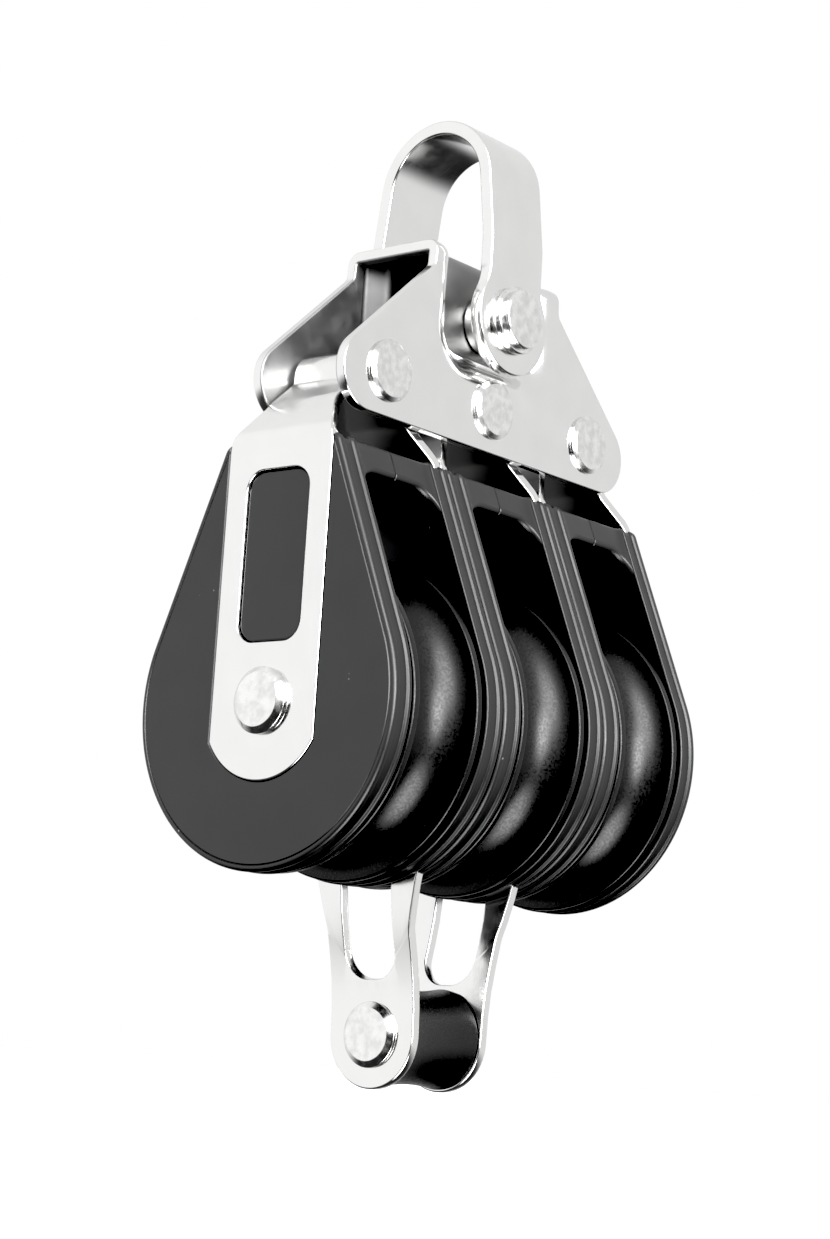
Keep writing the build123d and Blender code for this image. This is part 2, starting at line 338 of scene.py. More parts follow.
def point_outwards(bm):
    """Make every face look out of the solid."""
    bm.normal_update()
    bmesh.ops.recalc_face_normals(bm, faces=bm.faces[:])
    if bm.calc_volume(signed=True) < 0:
        bmesh.ops.reverse_faces(bm, faces=bm.faces[:])
    bm.normal_update()


def add_piece(name, bm, look, body, nodes, smooth_below=35):
    """Finish a bmesh as a piece of the block, in the frame's place and scale."""
    bmesh.ops.remove_doubles(bm, verts=bm.verts[:], dist=1e-4)
    point_outwards(bm)
    bm.transform(Matrix.Translation(AXLE) @ Matrix.Scale(MM, 4))
    for face in bm.faces:
        face.smooth = True
    mesh = bpy.data.meshes.new(name)
    bm.to_mesh(mesh)
    bm.free()
    mesh.set_sharp_from_angle(angle=radians(smooth_below))
    piece = bpy.data.objects.new(name, mesh)
    bpy.context.scene.collection.objects.link(piece)
    mesh.materials.append(LOOKS[look])
    weighted = piece.modifiers.new("weighted", "WEIGHTED_NORMAL")
    weighted.keep_sharp = True
    weighted.weight = 100    # large faces settle the normals, so that flats stay flat
    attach(piece, body)
    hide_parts(*nodes)
    return piece


def y_axis(centre_y, z):
    """A place for a turned piece that lies along Y."""
    return lambda along, a, b: Vector((a, centre_y + along, z + b))


def x_axis(y, z):
    """A place for a turned piece that lies along X."""
    return lambda along, a, b: Vector((along, y + a, z + b))


# Straps

def window_outline():
    """The window in a strap's leg, which shows the shell's pad."""
    middle = (WINDOW_LOW + WINDOW_HIGH) / 2
    return rounded_box((0, middle), WINDOW_HALF, (WINDOW_HIGH - WINDOW_LOW) / 2, WINDOW_R)


def strap_path(becket):
    """The middle of a strap's sheet, seen from its edge: up one leg, round the rivet and down."""
    leg = STRAP_OUT - SHEET / 2
    loop = RIVET_R + SHEET / 2
    rise = [(-leg, -STRAP_FOOT_R)]
    if becket:
        leg_middle = LEG_OUT - SHEET / 2
        rise = [(-leg_middle, BECKET_H - BECKET_EYE_R), (-leg_middle, STEP_LOW), (-leg, STEP_HIGH)]
    radii = [0] + [STEP_R] * (len(rise) - 1) + [2.2, 3.5, 1.6, 0]
    rise += [(-leg, SHOULDER_H), (-NECK_X, NECK_H), (-loop, LOOP_H), (-loop, RIVET_H)]
    rise = rounded(rise, radii)[:-1]
    over = arc((0, RIVET_H), loop, pi, 0, 24)
    fall = [Vector((-p.x, p.y)) for p in reversed(rise)]
    return rise + over + fall


def make_strap(name, centre_y, node, becket):
    """A flat outline with its openings, bent along the strap's path."""
    path = strap_path(becket)
    lengths = path_lengths(path)
    whole = lengths[-1]

    def along(z):
        """How far along the flat sheet a height on the first leg is."""
        i = next(k for k in range(len(path)) if path[k + 1].y >= z - 1e-6)
        share = (z - path[i].y) / (path[i + 1].y - path[i].y)
        return lengths[i] + share * (lengths[i + 1] - lengths[i])

    # One side of one leg, from the foot up, as (half width, height)
    if becket:
        foot = arc((0, BECKET_H), BECKET_EYE_R, -pi / 2, 0, 36)[1:-1]
        flank = [(BECKET_EYE_R, BECKET_H), (BECKET_EYE_R, -23.5), (STRAP_HALF, -16.5)]
    else:
        shoulder = sqrt(STRAP_FOOT_R**2 - STRAP_HALF**2)
        foot = arc((0, 0), STRAP_FOOT_R, -pi / 2, -atan2(shoulder, STRAP_HALF), 30)[1:-1]
        flank = [(STRAP_HALF, -shoulder)]
    flank += [(STRAP_HALF, 29.9), (TONGUE_HALF, 34.5), (TONGUE_HALF, 38.5)]
    edge = foot + rounded(flank, [0] + [6] * (len(flank) - 4) + [3.5, 3.0, 0])
    half_outline = [Vector((p.x, along(p.y))) for p in edge]
    outline = half_outline + [Vector((p.x, whole - p.y)) for p in reversed(half_outline)]
    outline += [Vector((-p.x, p.y)) for p in reversed(outline)]

    openings = [window_outline(), circle((0, 0), AXLE_R + BORE_GAP)]
    if becket:
        openings.append(circle((0, BECKET_H), BECKET_PIN_R + BORE_GAP, 40))
        openings.append(rounded_box((0, SLOT_H), SLOT_HALF, SLOT_REACH, SLOT_R))
    holes = []
    for opening in openings:
        near = [Vector((p.x, along(p.y))) for p in opening]
        holes.append(near)
        holes.append([Vector((p.x, whole - p.y)) for p in near])

    bm = bmesh.new()
    make_flat_sheet(bm, outline, holes, SHEET, STRAP_EDGE)
    bend(bm, path, lambda across, at: Vector((across, centre_y + at.x, at.y)))
    return add_piece(name, bm, "polished_steel", "block", [node])


# Head bracket

DISH_HALF = 9.7
DISH_LOW = 43.0
DISH_DEPTH = 2.5
DISH_CORNER = 5.0
DISH_SLOPE = tan(radians(38))
BRACKET_BOTTOM = 34.0
BRACKET_TOP = 57.6
BRACKET_EDGE = 0.24
FOLD_R = 0.95            # of the middle of the sheet
# The three slots after the polished one are darker steel that stands in for shade: painted shade on the
# pressed-in floor, on the inside of the channel, and darkest on the inside walls of the pressed-in dish.
PRESSED_PAINTED_SHADE, DULL_PAINTED_SHADE, WALL_PAINTED_SHADE = 1, 2, 3     # its material slots after the polished one


def set_depth(bm, verts, depth):
    """Mark how far vertices of the bracket's flat sheet are pressed in once it's folded."""
    layer = bm.verts.layers.float["depth"]
    for vert in verts:
        vert[layer] = depth


def dish_rings(bm, outline, height, section):
    """A pressed-in area: rings from its rim to its floor, each marked with its depth."""
    rings = []
    for point in section:
        rings.append(ring(bm, grow(outline, -point.x), height))
        set_depth(bm, rings[-1], -point.y)
    join_stack(bm, rings)
    return rings[0], rings[-1]


def make_bracket():
    """A folded sheet whose plates are pressed in round the shackle pin, right up over the fold."""
    bm = bmesh.new()
    bm.verts.layers.float.new("depth")
    half = BRACKET_T / 2
    middle_x = PLATE_X - half
    middle_top = BRACKET_TOP - half
    left = [(-middle_x, BRACKET_BOTTOM), (-middle_x, middle_top)]
    path = rounded(left + [(-x, z) for x, z in reversed(left)], FOLD_R)
    whole = path_lengths(path)[-1]

    # One plate's slanted side, as (across, along the flat sheet), and the same for the other plate
    plate_side = [(34.8, 0), (12.4, 20.2), (12.2, 22.9)]
    plate_radii = [4.6, 1.2, 0]
    side = plate_side + [(y, whole - u) for y, u in reversed(plate_side)]
    corners = side + [(-y, u) for y, u in reversed(side)]
    outline = thin_out(rounded(corners, (plate_radii + plate_radii[::-1]) * 2, closed=True))
    edges = [edge_rings(bm, outline, BRACKET_T, BRACKET_EDGE)]
    for y in (-PITCH, 0, PITCH):
        for u in (RIVET_H - BRACKET_BOTTOM, whole - RIVET_H + BRACKET_BOTTOM):
            hole = circle((y, u), RIVET_R + BORE_GAP, 32)
            edges.append(edge_rings(bm, hole, BRACKET_T, 0.1, outer=False))

    reach = whole / 2 - DISH_LOW + BRACKET_BOTTOM
    dish = thin_out(rounded_box((0, whole / 2), DISH_HALF, reach, DISH_CORNER))
    run = DISH_DEPTH * DISH_SLOPE
    outer = rounded([(-2, 0), (0, 0), (run, -DISH_DEPTH), (5, -DISH_DEPTH)], [0, 3.5, 1.2, 0])[1:-1]
    wall = 0.7           # how far the inner face's wall lies outside the outer face's
    inner = [(-3, 0), (-wall, 0), (run - wall, -DISH_DEPTH), (5, -DISH_DEPTH)]
    inner = rounded(inner, [0, 0.8, 1.9, 0])[1:-1]
    top = dish_rings(bm, dish, half, outer)
    under = dish_rings(bm, dish, -half, inner)
    floors = [[top[1]], [under[1]]]
    for u in (PIN_H - BRACKET_BOTTOM, whole - PIN_H + BRACKET_BOTTOM):
        hole = circle((0, u), PIN_R + 0.06, 48)
        hole_rings = edge_rings(bm, hole, BRACKET_T, 0.15, outer=False)
        for hole_ring in hole_rings:
            set_depth(bm, hole_ring, DISH_DEPTH)
        floors[0].append(hole_rings[0])
        floors[1].append(hole_rings[-1])
    fill(bm, [rings[0] for rings in edges] + [top[0]])
    fill(bm, [rings[-1] for rings in edges] + [under[0]])
    for floor in floors:
        fill(bm, floor)

    point_outwards(bm)
    layer = bm.verts.layers.float["depth"]
    # Pressed-in faces and the inside of the channel get darker steel as painted shade; the dish's inside
    # walls, where the depth changes, get the darkest painted shade.
    for face in bm.faces:
        depths = [vert[layer] for vert in face.verts]
        pressed = min(depths) > DISH_DEPTH - 0.01
        if pressed or max(vert.co.z for vert in face.verts) < 0:
            if max(depths) > min(depths):
                face.material_index = WALL_PAINTED_SHADE
            elif pressed and face.normal.z > 0:
                face.material_index = PRESSED_PAINTED_SHADE
            else:
                face.material_index = DULL_PAINTED_SHADE
    bend(bm, path, lambda across, at: Vector((at.x, across, at.y)))
    layer = bm.verts.layers.float["depth"]
    straight = middle_x - FOLD_R
    for vert in bm.verts:
        vert.co.x -= vert[layer] * min(max(vert.co.x / straight, -1), 1)
    bm.verts.layers.float.remove(layer)
    piece = add_piece("bracket_folded", bm, "polished_steel", "block", ["head_bracket"])
    # These darker greys are painted shade, on top of a duller finish than the polished steel.
    piece.data.materials.append(look_dull_painted_shade_steel("pressed_painted_shade_steel", 0.30, 0.4))
    piece.data.materials.append(look_dull_painted_shade_steel("dull_painted_shade_steel", 0.46, 0.45))
    piece.data.materials.append(look_dull_painted_shade_steel("wall_painted_shade_steel", 0.14, 0.5))
    return piece


# Shackle

def make_bow():
    """A strip with an eye at each end, bent up over the crown; its legs lean in above the knee."""
    leg_x = BOW_INNER + BOW_T / 2
    radius = CROWN_R + BOW_T / 2
    foot = PIN_H - BOW_EYE_R
    centre_h = CROWN_H - CROWN_R
    fall = centre_h - BOW_KNEE
    tangent = acos(radius / hypot(leg_x, fall)) - atan2(fall, leg_x)
    touch = (-radius * cos(tangent), centre_h + radius * sin(tangent))
    rise = rounded([(-leg_x, foot), (-leg_x, BOW_KNEE), touch], KNEE_R)
    path = rise[:-1] + arc((0, centre_h), radius, pi - tangent, tangent, 40)
    path += [Vector((-p.x, p.y)) for p in reversed(rise[:-1])]
    whole = path_lengths(path)[-1]

    neck_x = BOW_HALF + BOW_NECK_R
    neck_rise = sqrt((BOW_EYE_R + BOW_NECK_R)**2 - neck_x**2)
    turn = atan2(neck_rise, neck_x)
    eye = arc((0, BOW_EYE_R), BOW_EYE_R, -pi / 2, turn, 44)[1:]
    shoulder = arc((neck_x, BOW_EYE_R + neck_rise), BOW_NECK_R, pi + turn, pi, 14)[1:]
    half_outline = eye + shoulder
    outline = half_outline + [Vector((p.x, whole - p.y)) for p in reversed(half_outline)]
    outline += [Vector((-p.x, p.y)) for p in reversed(outline)]
    holes = [circle((0, u), PIN_R + BORE_GAP, 48) for u in (BOW_EYE_R, whole - BOW_EYE_R)]

    bm = bmesh.new()
    make_flat_sheet(bm, outline, holes, BOW_T, BOW_EDGE)
    bend(bm, path, lambda across, at: Vector((at.x, across, at.y)))
    return add_piece("shackle_strip", bm, "polished_steel", "shackle", ["shackle_bow"])


def turned(name, profiles, segments, place, look, body, node, closed=False):
    """A piece turned from one profile or more."""
    bm = bmesh.new()
    for profile in profiles:
        lathe(bm, profile, segments, place, closed)
    return add_piece(name, bm, look, body, [node])


def make_shackle_pin():
    """A pin with a collar and a head, and a cross hole in its tail for the split ring."""
    bow_out = BOW_INNER + BOW_T
    tail, collar_r, head_r = -14.0, 4.1, 3.6
    collar_end, head_end = bow_out + 1.0, bow_out + 1.9
    corners = [(tail, AXIS_GAP), (tail, PIN_R), (bow_out, PIN_R), (bow_out, collar_r)]
    corners += [(collar_end, collar_r), (collar_end, head_r), (head_end, head_r), (head_end, AXIS_GAP)]
    profile = rounded(corners, [0, 0.6, 0, 0.3, 0.3, 0, 0.42, 0])
    bm = bmesh.new()
    lathe(bm, profile, 96, x_axis(0, PIN_H))
    sag = RING_R - sqrt(RING_R**2 - PIN_R**2)
    reach, hole_r = 4, 0.55 + sag / 2
    hole = bmesh.new()
    bore = rounded([(-reach, AXIS_GAP), (-reach, hole_r), (reach, hole_r), (reach, AXIS_GAP)], 0)
    lathe(hole, bore, 40, lambda along, a, b: Vector((RING_X + a, along, PIN_H - sag / 2 + b)))
    bm = boolean(bm, hole, "DIFFERENCE")
    return add_piece("shackle_pin_turned", bm, "worn_steel", "shackle", ["shackle_pin"])


def make_split_ring():
    """A ring wound twice from one wire, with the step where it changes from turn to turn."""
    steps = 120          # to a turn
    section = 12
    step_start, step_length = 0.93, 0.14
    first_spin = 0.35
    bulge = 0.1
    bm = bmesh.new()
    rings = []
    for k in range(2 * steps + 1):
        share = min(max((k / steps - step_start) / step_length, 0), 1)
        share = share * share * (3 - 2 * share)
        side = RING_WIRE * (2 * share - 1)
        reach = RING_R + bulge * sin(pi * share)
        spin = 2 * pi * k / steps + first_spin
        around = []
        for j in range(section):
            a = 2 * pi * j / section
            radius = reach + RING_WIRE * cos(a)
            x = RING_X + side + RING_WIRE * sin(a)
            around.append(bm.verts.new((x, radius * sin(spin), PIN_H - RING_R + radius * cos(spin))))
        rings.append(around)
    join_stack(bm, rings)
    bm.faces.new(rings[0])
    bm.faces.new(rings[-1])
    return add_piece("split_ring_wound", bm, "polished_steel", "shackle", ["split_ring"], smooth_below=50)


def spacer_profiles():
    """The washers that fill the gaps between the bow's legs and the bracket's pressed-in plates."""
    length = BOW_INNER - PLATE_X + DISH_DEPTH - 0.12
    inner, outer = PIN_R + BORE_GAP, 3.6
    profiles = []
    for start in (-BOW_INNER + 0.02, PLATE_X - DISH_DEPTH + 0.1):
        stop = start + length
        corners = [(start, inner), (start, outer), (stop, outer), (stop, inner)]
        profiles.append(rounded(corners, 0.2, closed=True))
    return profiles


def headed_pin_profile(half, radius, head_r, head_t, bevel, drop):
    """A pin with a head at each end; each head has a bevel round its flat face."""
    end = half + head_t
    right = [(half, radius), (half, head_r), (end - drop, head_r), (end, head_r - bevel)]
    right.append((end, AXIS_GAP))
    right = rounded(right, [0, 0.08, 0.12, 0.25, 0])
    left = [Vector((-p.x, p.y)) for p in reversed(right)]
    return left + right


# Shells

def flank_turn():
    """Where a shell's straight flank leaves its round foot."""
    return atan2(BAR_TOP, TOP_CORNER_X) - acos(SHELL_R / hypot(TOP_CORNER_X, BAR_TOP))


def teardrop():
    """A shell's outline: a round foot and straight flanks that lean in to the crossbar."""
    turn = flank_turn()
    foot = arc((0, 0), SHELL_R, pi - turn - 2 * pi, turn, 110)
    top = rounded([foot[-1], (TOP_CORNER_X, BAR_TOP), (-TOP_CORNER_X, BAR_TOP), foot[0]], TOP_CORNER_R)
    return thin_out(foot + top[1:-1])


def flank_x(z, inset=0.0):
    """Half the shell's width at a height between the round foot and the top."""
    touch_x, touch_z = SHELL_R * cos(flank_turn()), SHELL_R * sin(flank_turn())
    return touch_x + (TOP_CORNER_X - touch_x) * (z - touch_z) / (BAR_TOP - touch_z) - inset


def strap_pocket(runs_down):
    """The outline that a strap lies in; it's open at the top, and at the foot for the becket."""
    half = STRAP_HALF + POCKET_GAP
    foot_r = STRAP_FOOT_R + POCKET_GAP
    above, below = BAR_TOP + 2, -SHELL_R - 3
    top = [Vector((half, above)), Vector((-half, above))]
    if runs_down:
        return [Vector((half, below))] + top + [Vector((-half, below))]
    turn = atan2(sqrt(foot_r**2 - half**2), half)
    return arc((0, 0), foot_r, turn - pi, -turn, 50) + top


def rim_section():
    """The rim from a cheek's inner face to its outer face, as (inset, distance from the middle)."""
    corners = [(0.9, CHEEK_INNER), (0, CHEEK_INNER), (0, 7.2), (0.26, 7.42), (0.26, 8.62), (0, 8.84)]
    corners += [(0, SHELL_HALF), (0.62, SHELL_HALF), (0.72, SHELL_HALF - 0.16), (0.86, SHELL_HALF)]
    corners += [(1.05, SHELL_HALF)]
    return rounded(corners, [0, 0.24, 0.2, 0.12, 0.12, 0.2, 0.5, 0.06, 0.03, 0.03, 0])


def make_shell_plate():
    """The cheek itself, lofted from its inner face round the rim to its outer face."""
    bm = bmesh.new()
    outline = teardrop()
    rings = [ring(bm, grow(outline, -p.x), p.y) for p in rim_section()]
    join_stack(bm, rings)
    bore = circle((0, 0), AXLE_R + 0.03, 48)
    bore_rings = [ring(bm, bore, CHEEK_INNER), ring(bm, bore, SHELL_HALF)]
    join_stack(bm, bore_rings)
    fill(bm, [rings[0], bore_rings[0]])
    fill(bm, [rings[-1], bore_rings[-1]])
    return bm


def make_pocket_cutter(runs_down):
    """What the strap's pocket takes away, with the pad left standing in it."""
    bm = bmesh.new()
    outline = thin_out(strap_pocket(runs_down))
    levels = [(0, POCKET_FLOOR), (0, SHELL_HALF - 0.14)]
    levels += [(0.17, SHELL_HALF + 0.03), (0.17, SHELL_HALF + 1)]
    walls = [ring(bm, grow(outline, out), y) for out, y in levels]
    join_stack(bm, walls)
    window = thin_out(window_outline())
    section = [(POCKET_GAP, POCKET_FLOOR), (POCKET_GAP, PAD_OUT), (1.0, PAD_OUT)]
    section = rounded(section, 0.3)[:-1]
    pad = [ring(bm, grow(window, -p.x), p.y) for p in section]
    join_stack(bm, pad)
    fill(bm, [walls[0], pad[0]])
    fill(bm, [pad[-1]])
    fill(bm, [walls[-1]])
    return bm


def make_bar():
    """Half of a crossbar: rounded front and back, and swept down into the cheek at its end."""
    seam = 0.03          # half the gap between the two halves
    bar_high = BAR_TOP - 0.15
    levels = [(seam, 0.16, 0, BAR_INSET), (seam + 0.05, 0.05, 0, BAR_INSET), (seam + 0.16, 0, 0, BAR_INSET)]
    for k in range(BAR_STEPS + 1):
        turn = pi / 2 * k / BAR_STEPS
        y = CHEEK_INNER - BAR_SWEEP + (BAR_SWEEP + 0.01) * sin(turn)
        near = min(max((y - CHEEK_INNER + BAR_BLEND) / BAR_BLEND, 0), 1)
        levels.append((y, 0, BAR_SWEEP * (1 - cos(turn)), BAR_INSET - 0.3 * near * near))
    levels.append((CHEEK_INNER + 0.45, 0, BAR_SWEEP, BAR_INSET - 0.3))
    bm = bmesh.new()
    rings = []
    for y, shrink, drop, inset in levels:
        low = BAR_BOTTOM - drop + shrink
        high = bar_high - shrink
        wide = flank_x(low, inset + shrink)
        narrow = flank_x(high, inset + shrink)
        section = [(wide, low), (narrow, high), (-narrow, high), (-wide, low)]
        rings.append(ring(bm, rounded(section, BAR_ROUND, closed=True), y))
    join_stack(bm, rings)
    fill(bm, [rings[0]])
    fill(bm, [rings[-1]])
    return bm


def make_cheek(name, centre_y, side, node, runs_down):
    """A cheek with its half of the crossbar; side is -1 or 1 along Y."""
    plate = boolean(make_shell_plate(), make_bar(), "UNION")
    bm = boolean(plate, make_pocket_cutter(runs_down), "DIFFERENCE")
    for vert in bm.verts:
        x, z, y = vert.co
        vert.co = (x, centre_y + side * y, z)
    return add_piece(name, bm, "black_plastic", "block", [node], smooth_below=28)


# Sheaves and the becket's roller

SHEAVE_HALF = 6.1
SHEAVE_R = 18.8
SHEAVE_DISH = 1.2        # how deep its sides are between the hub and the rim
GROOVE_R = 5.004
GROOVE_H = 19.0          # from the axle to the middle of the groove's section
GROOVE_LIP = 0.12        # radians of the section left off at each lip


def sheave_profile():
    """A grooved wheel with dished sides, as (along the axle, radius)."""
    dished = SHEAVE_HALF - SHEAVE_DISH
    right = [(SHEAVE_HALF, 4.54), (SHEAVE_HALF, 6.2), (dished, 6.8), (dished, 12.6)]
    right += [(SHEAVE_HALF, 13.2), (SHEAVE_HALF, SHEAVE_R), (5.0, SHEAVE_R), (4.99, 17.9)]
    right = rounded(right, [0, 0.2, 0.4, 0.4, 0.2, 0.35, 0.3, 0])[:-1]
    groove = arc((0, GROOVE_H), GROOVE_R, -GROOVE_LIP, GROOVE_LIP - pi, 48)
    left = [Vector((-p.x, p.y)) for p in reversed(right)]
    return right + groove + left


def roller_profile():
    """A waisted roller with a plain bore."""
    half = LEG_OUT - SHEET - 0.1
    bore, edge = BECKET_PIN_R + 0.06, 5.6
    waist = arc((0, ROLLER_R + WAIST_R), WAIST_R, -pi / 2 - WAIST_TURN, -pi / 2 + WAIST_TURN, 24)
    ends = [(half, edge), (half, bore), (-half, bore), (-half, edge)]
    return thin_out(waist + [Vector(p) for p in ends])


# Looks: node materials whose coordinates are the object's own, in metres

def spread(tree, value, low, high, to_low, to_high):
    """A value from one range moved to another, and held inside it."""
    node = tree.nodes.new("ShaderNodeMapRange")
    node.interpolation_type = "SMOOTHSTEP"
    node.inputs["From Min"].default_value = low
    node.inputs["From Max"].default_value = high
    node.inputs["To Min"].default_value = to_low
    node.inputs["To Max"].default_value = to_high
    tree.links.new(value, node.inputs["Value"])
    return node.outputs["Result"]


def combine(tree, operation, first, second):
    """A sum, product or difference, each side a number or a node's value."""
    node = tree.nodes.new("ShaderNodeMath")
    node.operation = operation
    for value, socket in ((first, node.inputs[0]), (second, node.inputs[1])):
        if hasattr(value, "links"):
            tree.links.new(value, socket)
        else:
            socket.default_value = value
    return node.outputs["Value"]


class Look:
    """A Principled material with short ways to add noise, ramps and bumps."""

    def __init__(self, name, color, metallic, roughness, specular=0.5):
        self.material = bpy.data.materials.new(name)
        self.material.use_nodes = True
        self.tree = self.material.node_tree
        self.shader = self.tree.nodes["Principled BSDF"]
        self.shader.inputs["Base Color"].default_value = (*color, 1)
        self.shader.inputs["Metallic"].default_value = metallic
        self.shader.inputs["Roughness"].default_value = roughness
        self.shader.inputs["Specular IOR Level"].default_value = specular
        self.place = self.tree.nodes.new("ShaderNodeTexCoord").outputs["Object"]

    def stretched(self, scale):
        """Coordinates with a scale of their own along each axis."""
        mapping = self.tree.nodes.new("ShaderNodeMapping")
        mapping.inputs["Scale"].default_value = scale
        self.tree.links.new(self.place, mapping.inputs["Vector"])
        return mapping.outputs["Vector"]

    def noise(self, scale, detail=2.0, vector=None):
        """Smooth noise from 0 to 1; scale is in lumps to a metre."""
        node = self.tree.nodes.new("ShaderNodeTexNoise")
        node.inputs["Scale"].default_value = scale
        node.inputs["Detail"].default_value = detail
        self.tree.links.new(vector or self.place, node.inputs["Vector"])
        return node.outputs["Fac"]

    def cells(self, scale):
        """The distance to the nearest of many scattered points."""
        node = self.tree.nodes.new("ShaderNodeTexVoronoi")
        node.inputs["Scale"].default_value = scale
        self.tree.links.new(self.place, node.inputs["Vector"])
        return node.outputs["Distance"]

    def spread(self, value, *ranges):
        return spread(self.tree, value, *ranges)

    def combine(self, operation, first, second):
        return combine(self.tree, operation, first, second)

    def blend_colors(self, share, first, second):
        """A color between two, by a share from 0 to 1."""
        node = self.tree.nodes.new("ShaderNodeMix")
        node.data_type = "RGBA"
        self.tree.links.new(share, node.inputs["Factor"])
        node.inputs[6].default_value = (*first, 1)
        node.inputs[7].default_value = (*second, 1)
        return node.outputs[2]

    def set(self, socket, value):
        """Give one of the shader's inputs a node's value."""
        self.tree.links.new(value, self.shader.inputs[socket])

    def bumps(self, *layers):
        """Bumps one on another: each layer is a height and its depth in metres."""
        normal = None
        for height, depth in layers:
            node = self.tree.nodes.new("ShaderNodeBump")
            node.inputs["Distance"].default_value = depth
            self.tree.links.new(height, node.inputs["Height"])
            if normal:
                self.tree.links.new(normal, node.inputs["Normal"])
            normal = node.outputs["Normal"]
        self.tree.links.new(normal, self.shader.inputs["Normal"])


def look_steel():
    """Polished stainless strip: faint rolling lines, soft waves, and hazy patches."""
    look = Look("polished_steel", (0.80, 0.80, 0.79), 1.0, 0.14)
    haze = look.noise(260, 3)
    lines = look.noise(1.0, 3, look.stretched((5200, 5200, 260)))
    share = look.combine("ADD", look.combine("MULTIPLY", haze, 0.7), look.combine("MULTIPLY", lines, 0.3))
    look.set("Roughness", look.spread(share, 0.35, 0.65, 0.10, 0.21))
    look.set("Base Color", look.blend_colors(haze, (0.76, 0.76, 0.755), (0.84, 0.84, 0.83)))
    look.bumps((look.noise(90, 1), 0.00004), (lines, 0.0000012))
    return look.material


def look_worn_steel():
    """Pins and rivets: turned, then mottled by the hammer that closed them."""
    look = Look("worn_steel", (0.80, 0.80, 0.79), 1.0, 0.2)
    blotches = look.noise(900, 4)
    look.set("Roughness", look.spread(blotches, 0.35, 0.65, 0.14, 0.28))
    look.set("Base Color", look.blend_colors(look.spread(blotches, 0.3, 0.7, 0.0, 1.0),
                                             (0.71, 0.71, 0.705), (0.87, 0.87, 0.86)))
    look.bumps((look.noise(450, 2), 0.00002), (blotches, 0.000004))
    return look.material


def look_dull_painted_shade_steel(name, grey, roughness):
    """The bracket's sheet where it isn't polished: pressed in, inside, or in its bends; its darker grey is
    painted shade.
    """
    look = Look(name, (grey, grey, grey), 1.0, roughness)
    haze = look.noise(300, 3)
    look.set("Roughness", look.spread(haze, 0.3, 0.7, roughness - 0.06, roughness + 0.06))
    darker, lighter = 0.83 * grey, 1.17 * grey
    look.set("Base Color", look.blend_colors(haze, (darker, darker, darker), (lighter, lighter, lighter)))
    look.bumps((look.noise(900, 3), 0.00001),)
    return look.material


def look_cheek():
    """Moulded nylon: fine satin grain, with a few specks of dust."""
    look = Look("cheek_nylon", (0.009, 0.009, 0.0095), 0.0, 0.4, 0.84)
    grain = look.noise(5200, 2)
    patches = look.noise(140, 3)
    dust = look.cells(420)
    dust_here = look.spread(look.noise(260, 1), 0.60, 0.66, 0.0, 1.0)
    specks = look.combine("MULTIPLY", look.spread(dust, 0.035, 0.06, 1.0, 0.0), dust_here)
    look.set("Base Color", look.blend_colors(specks, (0.008, 0.008, 0.0085), (0.22, 0.22, 0.22)))
    look.set("Roughness", look.spread(patches, 0.3, 0.7, 0.36, 0.46))
    look.bumps((grain, 0.000004), (patches, 0.00001))
    return look.material


def look_sheave():
    """Acetal that the rope has polished: black, with a coarse speckle in its highlights."""
    look = Look("sheave_acetal", (0.006, 0.006, 0.006), 0.0, 0.34)
    speckle = look.noise(3400, 3)
    patches = look.noise(500, 2)
    look.set("Roughness", look.spread(speckle, 0.35, 0.65, 0.27, 0.40))
    look.set("Base Color", look.blend_colors(patches, (0.004, 0.004, 0.004), (0.009, 0.009, 0.009)))
    look.bumps((speckle, 0.000006),)
    return look.material


def look_bearing():
    """Natural acetal of the bushes and washers inside."""
    look = Look("bearing_acetal", (0.7, 0.69, 0.66), 0.0, 0.4)
    patches = look.noise(300, 2)
    look.set("Base Color", look.blend_colors(patches, (0.66, 0.65, 0.62), (0.74, 0.73, 0.70)))
    look.set("Roughness", look.spread(look.noise(3000, 2), 0.3, 0.7, 0.34, 0.48))
    look.bumps((look.noise(4000, 2), 0.000005),)
    return look.material


FLOOR_GLOW = 0.3


def look_floor():
    """Pale paper that glows a little, so that it stays white round the block."""
    look = Look("floor_paper", (0.92, 0.92, 0.92), 0.0, 0.9)
    look.shader.inputs["Emission Color"].default_value = (1, 1, 1, 1)
    look.shader.inputs["Emission Strength"].default_value = FLOOR_GLOW
    look.bumps((look.noise(600, 3), 0.00002),)
    return look.material


LOOKS = {
    "polished_steel": look_steel(),
    "worn_steel": look_worn_steel(),
    "black_plastic": look_cheek(),
    "sheave_plastic": look_sheave(),
    "bearing_plastic": look_bearing(),
}


# Build

# The CAD nodes get the looks of their slots
node_slots = {part["node"]: part["material_slot"] for part in frame["record"]["subparts"]}
for node_name, node in frame["nodes"].items():
    node.data.materials.clear()
    node.data.materials.append(LOOKS[node_slots[node_name]])

make_bracket()
make_bow()
make_shackle_pin()
make_split_ring()
turned("pin_spacers_turned", spacer_profiles(), 64, x_axis(0, PIN_H), "polished_steel",
       "shackle", "pin_spacers", True)

for index, place in enumerate(("left", "middle", "right")):
    y = (index - 1) * PITCH
    becket = place == "middle"
    strap_node = "strap_becket" if becket else f"strap_{place}"
    make_strap(f"{strap_node}_bent", y, strap_node, becket)
    make_cheek(f"cheek_{2 * index + 1}_moulded", y, -1, f"cheek_{2 * index + 1}", becket)
    make_cheek(f"cheek_{2 * index + 2}_moulded", y, 1, f"cheek_{2 * index + 2}", becket)
    rivet = headed_pin_profile(PLATE_X, RIVET_R, head_r=3.65, head_t=0.75, bevel=0.55, drop=0.4)
    turned(f"rivet_{place}_turned", [rivet], 72, x_axis(y, RIVET_H), "worn_steel",
           "block", f"rivet_{place}")
    turned(f"sheave_{place}_turned", [sheave_profile()], 160, y_axis(y, 0), "sheave_plastic",
           f"sheave_{place}", f"sheave_{place}", True)

